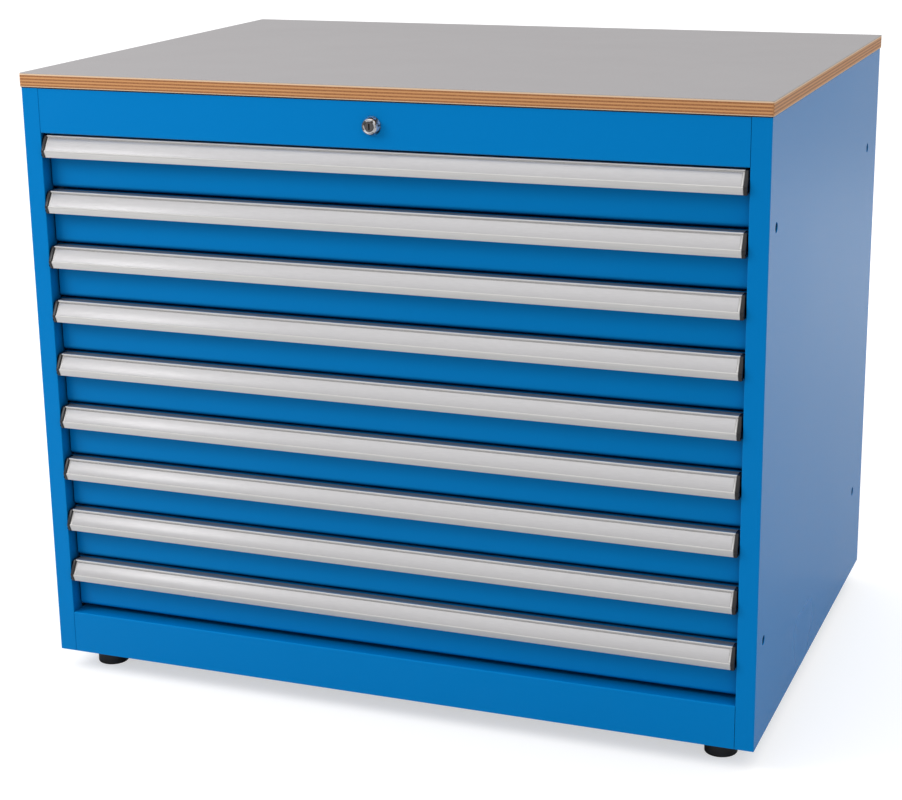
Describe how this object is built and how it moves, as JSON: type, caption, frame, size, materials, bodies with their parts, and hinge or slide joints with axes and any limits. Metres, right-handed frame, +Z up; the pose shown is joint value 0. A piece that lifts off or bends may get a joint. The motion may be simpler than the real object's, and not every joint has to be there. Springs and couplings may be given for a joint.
{
  "type": "workbench with drawers",
  "caption": "Low workbench: sheet-steel cabinet of full-width shallow drawers with bar handles, central lock, laminated plywood worktop and round levelling feet.",
  "frame": {"origin": "on the floor, under the centre of the bounding box", "axes": "+Z up, drawers open towards -Y, +X to the right of someone facing the drawers"},
  "size_m": [1.008, 0.7354, 0.849],
  "materials": {
    "blue_paint": "smooth semi-gloss powder coat",
    "plywood": "sanded and lacquered multiplex edge",
    "laminate": "fine matte laminate",
    "handle_aluminium": "satin anodised",
    "black_plastic": "moulded, slight gloss",
    "foot_black": "matte black coating",
    "zinc_steel": "bright zinc plated",
    "lock_chrome": "polished",
    "lock_steel": "fine turned face"
  },
  "bodies": {
    "cabinet": {"left_side_panel": "blue_paint", "right_side_panel": "blue_paint", "back_panel": "blue_paint", "top_panel": "blue_paint", "base_panel": "blue_paint", "top_fascia": "blue_paint", "plinth_rail": "blue_paint", "worktop_board": "plywood", "worktop_laminate": "laminate", "worktop_screws": "zinc_steel", "cabinet_runners": "zinc_steel", "runner_uprights": "zinc_steel", "lock_housing": "lock_chrome", "lock_nut": "zinc_steel", "lock_brackets": "zinc_steel", "foot_brackets": "zinc_steel"},
    "lock": {"lock_plug": "lock_steel", "lock_shaft": "zinc_steel"},
    "locking_bar": {"locking_bar": "zinc_steel", "locking_hooks": "zinc_steel"},
    "foot_front_left": {"foot_front_left": "foot_black"},
    "foot_front_right": {"foot_front_right": "foot_black"},
    "foot_rear_left": {"foot_rear_left": "foot_black"},
    "foot_rear_right": {"foot_rear_right": "foot_black"},
    "drawer_1": {"drawer_1_body": "blue_paint", "drawer_1_handle": "handle_aluminium", "drawer_1_end_caps": "black_plastic"},
    "middle_runners_1": {"drawer_1_middle_runners": "zinc_steel"},
    "drawer_2": {"drawer_2_body": "blue_paint", "drawer_2_handle": "handle_aluminium", "drawer_2_end_caps": "black_plastic"},
    "middle_runners_2": {"drawer_2_middle_runners": "zinc_steel"},
    "drawer_3": {"drawer_3_body": "blue_paint", "drawer_3_handle": "handle_aluminium", "drawer_3_end_caps": "black_plastic"},
    "middle_runners_3": {"drawer_3_middle_runners": "zinc_steel"},
    "drawer_4": {"drawer_4_body": "blue_paint", "drawer_4_handle": "handle_aluminium", "drawer_4_end_caps": "black_plastic"},
    "middle_runners_4": {"drawer_4_middle_runners": "zinc_steel"},
    "drawer_5": {"drawer_5_body": "blue_paint", "drawer_5_handle": "handle_aluminium", "drawer_5_end_caps": "black_plastic"},
    "middle_runners_5": {"drawer_5_middle_runners": "zinc_steel"},
    "drawer_6": {"drawer_6_body": "blue_paint", "drawer_6_handle": "handle_aluminium", "drawer_6_end_caps": "black_plastic"},
    "middle_runners_6": {"drawer_6_middle_runners": "zinc_steel"},
    "drawer_7": {"drawer_7_body": "blue_paint", "drawer_7_handle": "handle_aluminium", "drawer_7_end_caps": "black_plastic"},
    "middle_runners_7": {"drawer_7_middle_runners": "zinc_steel"},
    "drawer_8": {"drawer_8_body": "blue_paint", "drawer_8_handle": "handle_aluminium", "drawer_8_end_caps": "black_plastic"},
    "middle_runners_8": {"drawer_8_middle_runners": "zinc_steel"},
    "drawer_9": {"drawer_9_body": "blue_paint", "drawer_9_handle": "handle_aluminium", "drawer_9_end_caps": "black_plastic"},
    "middle_runners_9": {"drawer_9_middle_runners": "zinc_steel"}
  },
  "joints": [
    {"name": "drawer_1_slide", "type": "slide", "parent": "cabinet", "child": "drawer_1", "axis": [0, -1, 0], "range_m": [0, 0.6]},
    {"name": "drawer_2_slide", "type": "slide", "parent": "cabinet", "child": "drawer_2", "axis": [0, -1, 0], "range_m": [0, 0.6]},
    {"name": "drawer_3_slide", "type": "slide", "parent": "cabinet", "child": "drawer_3", "axis": [0, -1, 0], "range_m": [0, 0.6]},
    {"name": "drawer_4_slide", "type": "slide", "parent": "cabinet", "child": "drawer_4", "axis": [0, -1, 0], "range_m": [0, 0.6]},
    {"name": "drawer_5_slide", "type": "slide", "parent": "cabinet", "child": "drawer_5", "axis": [0, -1, 0], "range_m": [0, 0.6]},
    {"name": "drawer_6_slide", "type": "slide", "parent": "cabinet", "child": "drawer_6", "axis": [0, -1, 0], "range_m": [0, 0.6]},
    {"name": "drawer_7_slide", "type": "slide", "parent": "cabinet", "child": "drawer_7", "axis": [0, -1, 0], "range_m": [0, 0.6]},
    {"name": "drawer_8_slide", "type": "slide", "parent": "cabinet", "child": "drawer_8", "axis": [0, -1, 0], "range_m": [0, 0.6]},
    {"name": "drawer_9_slide", "type": "slide", "parent": "cabinet", "child": "drawer_9", "axis": [0, -1, 0], "range_m": [0, 0.6]},
    {"name": "middle_runners_1_slide", "type": "slide", "parent": "cabinet", "child": "middle_runners_1", "axis": [0, -1, 0], "range_m": [0, 0.3]},
    {"name": "middle_runners_2_slide", "type": "slide", "parent": "cabinet", "child": "middle_runners_2", "axis": [0, -1, 0], "range_m": [0, 0.3]},
    {"name": "middle_runners_3_slide", "type": "slide", "parent": "cabinet", "child": "middle_runners_3", "axis": [0, -1, 0], "range_m": [0, 0.3]},
    {"name": "middle_runners_4_slide", "type": "slide", "parent": "cabinet", "child": "middle_runners_4", "axis": [0, -1, 0], "range_m": [0, 0.3]},
    {"name": "middle_runners_5_slide", "type": "slide", "parent": "cabinet", "child": "middle_runners_5", "axis": [0, -1, 0], "range_m": [0, 0.3]},
    {"name": "middle_runners_6_slide", "type": "slide", "parent": "cabinet", "child": "middle_runners_6", "axis": [0, -1, 0], "range_m": [0, 0.3]},
    {"name": "middle_runners_7_slide", "type": "slide", "parent": "cabinet", "child": "middle_runners_7", "axis": [0, -1, 0], "range_m": [0, 0.3]},
    {"name": "middle_runners_8_slide", "type": "slide", "parent": "cabinet", "child": "middle_runners_8", "axis": [0, -1, 0], "range_m": [0, 0.3]},
    {"name": "middle_runners_9_slide", "type": "slide", "parent": "cabinet", "child": "middle_runners_9", "axis": [0, -1, 0], "range_m": [0, 0.3]},
    {"name": "lock_turn", "type": "hinge", "parent": "cabinet", "child": "lock", "pos_m": [0, -0.35875, 0.7995], "axis": [0, 1, 0], "range_deg": [0, 90]},
    {"name": "locking_bar_lift", "type": "slide", "parent": "cabinet", "child": "locking_bar", "axis": [0, 0, 1], "range_m": [0, 0.01]},
    {"name": "foot_front_left_height", "type": "slide", "parent": "cabinet", "child": "foot_front_left", "axis": [0, 0, -1], "range_m": [0, 0.02]},
    {"name": "foot_front_right_height", "type": "slide", "parent": "cabinet", "child": "foot_front_right", "axis": [0, 0, -1], "range_m": [0, 0.02]},
    {"name": "foot_rear_left_height", "type": "slide", "parent": "cabinet", "child": "foot_rear_left", "axis": [0, 0, -1], "range_m": [0, 0.02]},
    {"name": "foot_rear_right_height", "type": "slide", "parent": "cabinet", "child": "foot_rear_right", "axis": [0, 0, -1], "range_m": [0, 0.02]}
  ],
  "couplings": [
    {"joint": "middle_runners_1_slide", "follows": "drawer_1_slide", "ratio": 0.5},
    {"joint": "middle_runners_2_slide", "follows": "drawer_2_slide", "ratio": 0.5},
    {"joint": "middle_runners_3_slide", "follows": "drawer_3_slide", "ratio": 0.5},
    {"joint": "middle_runners_4_slide", "follows": "drawer_4_slide", "ratio": 0.5},
    {"joint": "middle_runners_5_slide", "follows": "drawer_5_slide", "ratio": 0.5},
    {"joint": "middle_runners_6_slide", "follows": "drawer_6_slide", "ratio": 0.5},
    {"joint": "middle_runners_7_slide", "follows": "drawer_7_slide", "ratio": 0.5},
    {"joint": "middle_runners_8_slide", "follows": "drawer_8_slide", "ratio": 0.5},
    {"joint": "middle_runners_9_slide", "follows": "drawer_9_slide", "ratio": 0.5},
    {"joint": "locking_bar_lift", "follows": "lock_turn", "m_per_rad": 0.006366}
  ]
}
